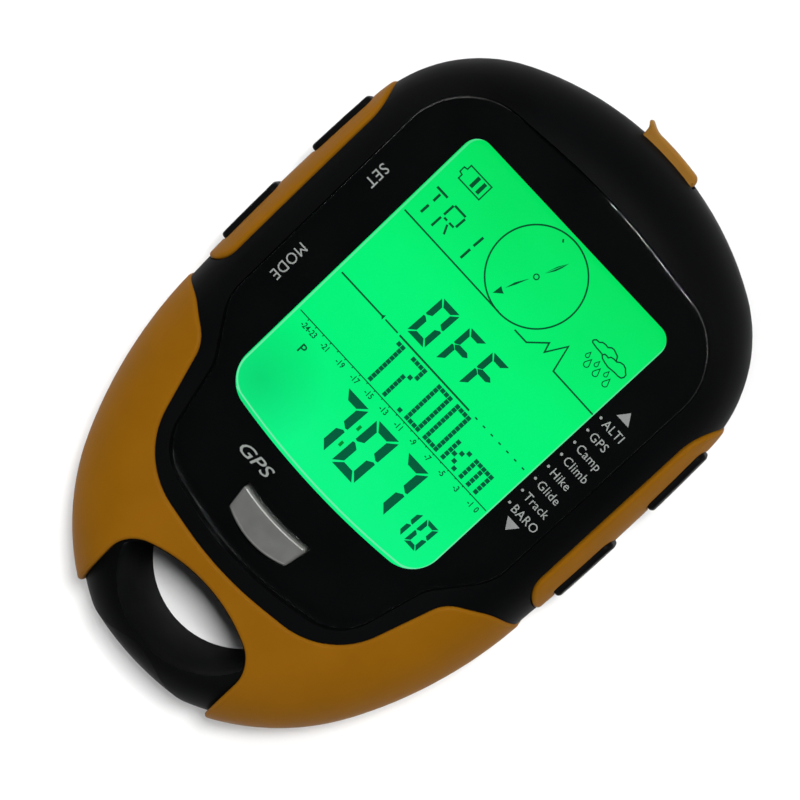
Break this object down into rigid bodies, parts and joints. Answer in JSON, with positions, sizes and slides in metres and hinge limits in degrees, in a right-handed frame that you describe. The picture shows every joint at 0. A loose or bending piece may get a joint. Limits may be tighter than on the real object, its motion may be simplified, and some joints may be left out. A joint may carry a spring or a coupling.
{
  "type": "handheld gps unit",
  "caption": "Handheld GPS and barometer unit with segment display, side keys, elastomer bumper, lanyard loop and hinged USB cover.",
  "frame": {"origin": "centre of the back face, under the middle of the unit's box", "axes": "+Z out of the display, +Y to the top edge, +X to the side of the UP and DOWN keys"},
  "size_m": [0.0668, 0.1012, 0.0218],
  "materials": {
    "housing_black": "fine satin moulded polycarbonate",
    "elastomer_amber": "soft-touch moulded elastomer",
    "window_clear": "clear gloss",
    "border_black": "gloss black print",
    "adhesive_clear": "clear tape",
    "key_silver": "satin silver paint",
    "key_black": "satin",
    "seal_black": "matt",
    "cover_orange": "soft-touch moulded elastomer",
    "lcd_glass": "clear",
    "lcd_film": "neutral film",
    "backlight": "lit light guide",
    "frame_white": "matt",
    "board_green": "solder mask",
    "package_black": "moulded epoxy",
    "can_steel": "tinned",
    "ceramic_antenna": "fired, silvered top",
    "cell_silver": "laminated pouch",
    "foam_grey": "foam",
    "plug_white": "moulded nylon",
    "lead_red": "insulation",
    "screw_steel": "zinc",
    "label_grey": "blank foil"
  },
  "bodies": {
    "housing": {"front_housing": "housing_black", "rear_housing": "housing_black", "lower_bumper": "elastomer_amber", "side_trim_left": "elastomer_amber", "side_trim_right": "elastomer_amber", "case_gasket": "seal_black", "display_window": "window_clear", "window_border": "border_black", "window_adhesive": "adhesive_clear", "gps_key_seal": "seal_black", "side_key_seals": "seal_black", "usb_cover_tether": "cover_orange", "lcd_front_glass": "lcd_glass", "lcd_rear_glass": "lcd_glass", "lcd_front_polariser": "lcd_film", "lcd_rear_polariser": "lcd_film", "backlight_guide": "backlight", "backlight_leds": "frame_white", "lcd_reflector": "frame_white", "lcd_frame": "frame_white", "lcd_connector": "foam_grey", "display_foam": "foam_grey", "main_board": "board_green", "antenna_board": "board_green", "shield_can": "can_steel", "gps_module": "package_black", "processor": "package_black", "pressure_sensor": "can_steel", "compass_sensor": "package_black", "crystal": "can_steel", "buzzer": "package_black", "board_passives": "ceramic_antenna", "patch_antenna": "ceramic_antenna", "usb_socket": "can_steel", "battery": "cell_silver", "battery_pad": "foam_grey", "battery_plug": "plug_white", "battery_leads": "lead_red", "vent_membrane": "plug_white", "rating_label": "label_grey", "case_screws": "screw_steel", "up_switch": "package_black", "down_switch": "package_black", "set_switch": "package_black", "mode_switch": "package_black", "gps_switch": "package_black"},
    "up_key": {"up_key": "key_black", "up_plunger": "plug_white"},
    "down_key": {"down_key": "key_black", "down_plunger": "plug_white"},
    "set_key": {"set_key": "key_black", "set_plunger": "plug_white"},
    "mode_key": {"mode_key": "key_black", "mode_plunger": "plug_white"},
    "gps_key": {"gps_key": "key_silver", "gps_plunger": "plug_white"},
    "usb_cover": {"usb_cover": "cover_orange"}
  },
  "joints": [
    {"name": "up_key_press", "type": "slide", "parent": "housing", "child": "up_key", "axis": [-1, 0, 0], "range_m": [0, 0.0005], "stiffness_N_per_m": 1500},
    {"name": "down_key_press", "type": "slide", "parent": "housing", "child": "down_key", "axis": [-1, 0, 0], "range_m": [0, 0.0005], "stiffness_N_per_m": 1500},
    {"name": "set_key_press", "type": "slide", "parent": "housing", "child": "set_key", "axis": [1, 0, 0], "range_m": [0, 0.0005], "stiffness_N_per_m": 1500},
    {"name": "mode_key_press", "type": "slide", "parent": "housing", "child": "mode_key", "axis": [1, 0, 0], "range_m": [0, 0.0005], "stiffness_N_per_m": 1500},
    {"name": "gps_key_press", "type": "slide", "parent": "housing", "child": "gps_key", "axis": [0, 0, -1], "range_m": [0, 0.0005], "stiffness_N_per_m": 1500},
    {"name": "usb_cover_hinge", "type": "hinge", "parent": "housing", "child": "usb_cover", "pos_m": [0.0043, 0.0493, 0.01105], "axis": [0, 0, -1], "range_deg": [0, 115]}
  ]
}
